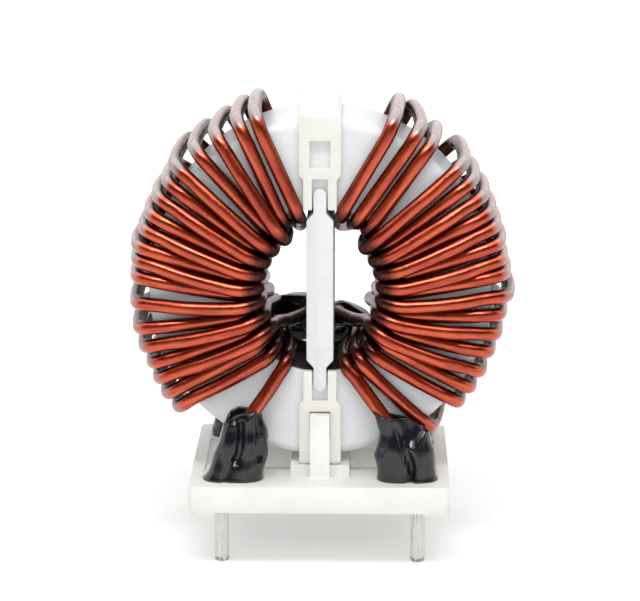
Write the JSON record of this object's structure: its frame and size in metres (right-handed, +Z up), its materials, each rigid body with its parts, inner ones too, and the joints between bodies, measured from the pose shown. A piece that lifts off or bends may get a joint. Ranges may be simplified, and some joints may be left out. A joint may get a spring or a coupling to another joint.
{
  "type": "toroidal inductor",
  "caption": "Toroidal common-mode inductor standing on a plastic pin base: copper windings either side of a divider across the bore of a white cased ring core.",
  "frame": {"origin": "middle of the footprint in the plane of the board, on which the feet of the base stand; the pins pass through that plane", "axes": "+Z up along the height of the ring, X across the windings from left to right, +Y to the back along the axis of the ring"},
  "size_m": [0.0433, 0.0262, 0.0516],
  "materials": {
    "base_plastic": "moulded, satin",
    "clip_plastic": "moulded, satin",
    "case_plastic": "moulded, satin",
    "core_tape": "wound metal tape",
    "foam": "foam",
    "enamelled_wire": "clear orange-red enamel over copper",
    "tinned_metal": "dipped tin, scratched",
    "sleeve_plastic": "shiny shrunk tube"
  },
  "bodies": {
    "root": {"base": "base_plastic", "case_cup": "case_plastic", "case_lid": "case_plastic", "core": "core_tape", "cushion_front": "foam", "cushion_rear": "foam", "clip_top": "clip_plastic", "clip_bottom": "clip_plastic", "divider": "clip_plastic", "winding_left": "enamelled_wire", "winding_right": "enamelled_wire", "pin_front_left": "tinned_metal", "pin_front_right": "tinned_metal", "pin_rear_left": "tinned_metal", "pin_rear_right": "tinned_metal", "joint_front_left": "tinned_metal", "joint_front_right": "tinned_metal", "joint_rear_left": "tinned_metal", "joint_rear_right": "tinned_metal", "sleeve_front_left": "sleeve_plastic", "sleeve_front_right": "sleeve_plastic", "sleeve_rear_left": "sleeve_plastic", "sleeve_rear_right": "sleeve_plastic"}
  },
  "joints": []
}
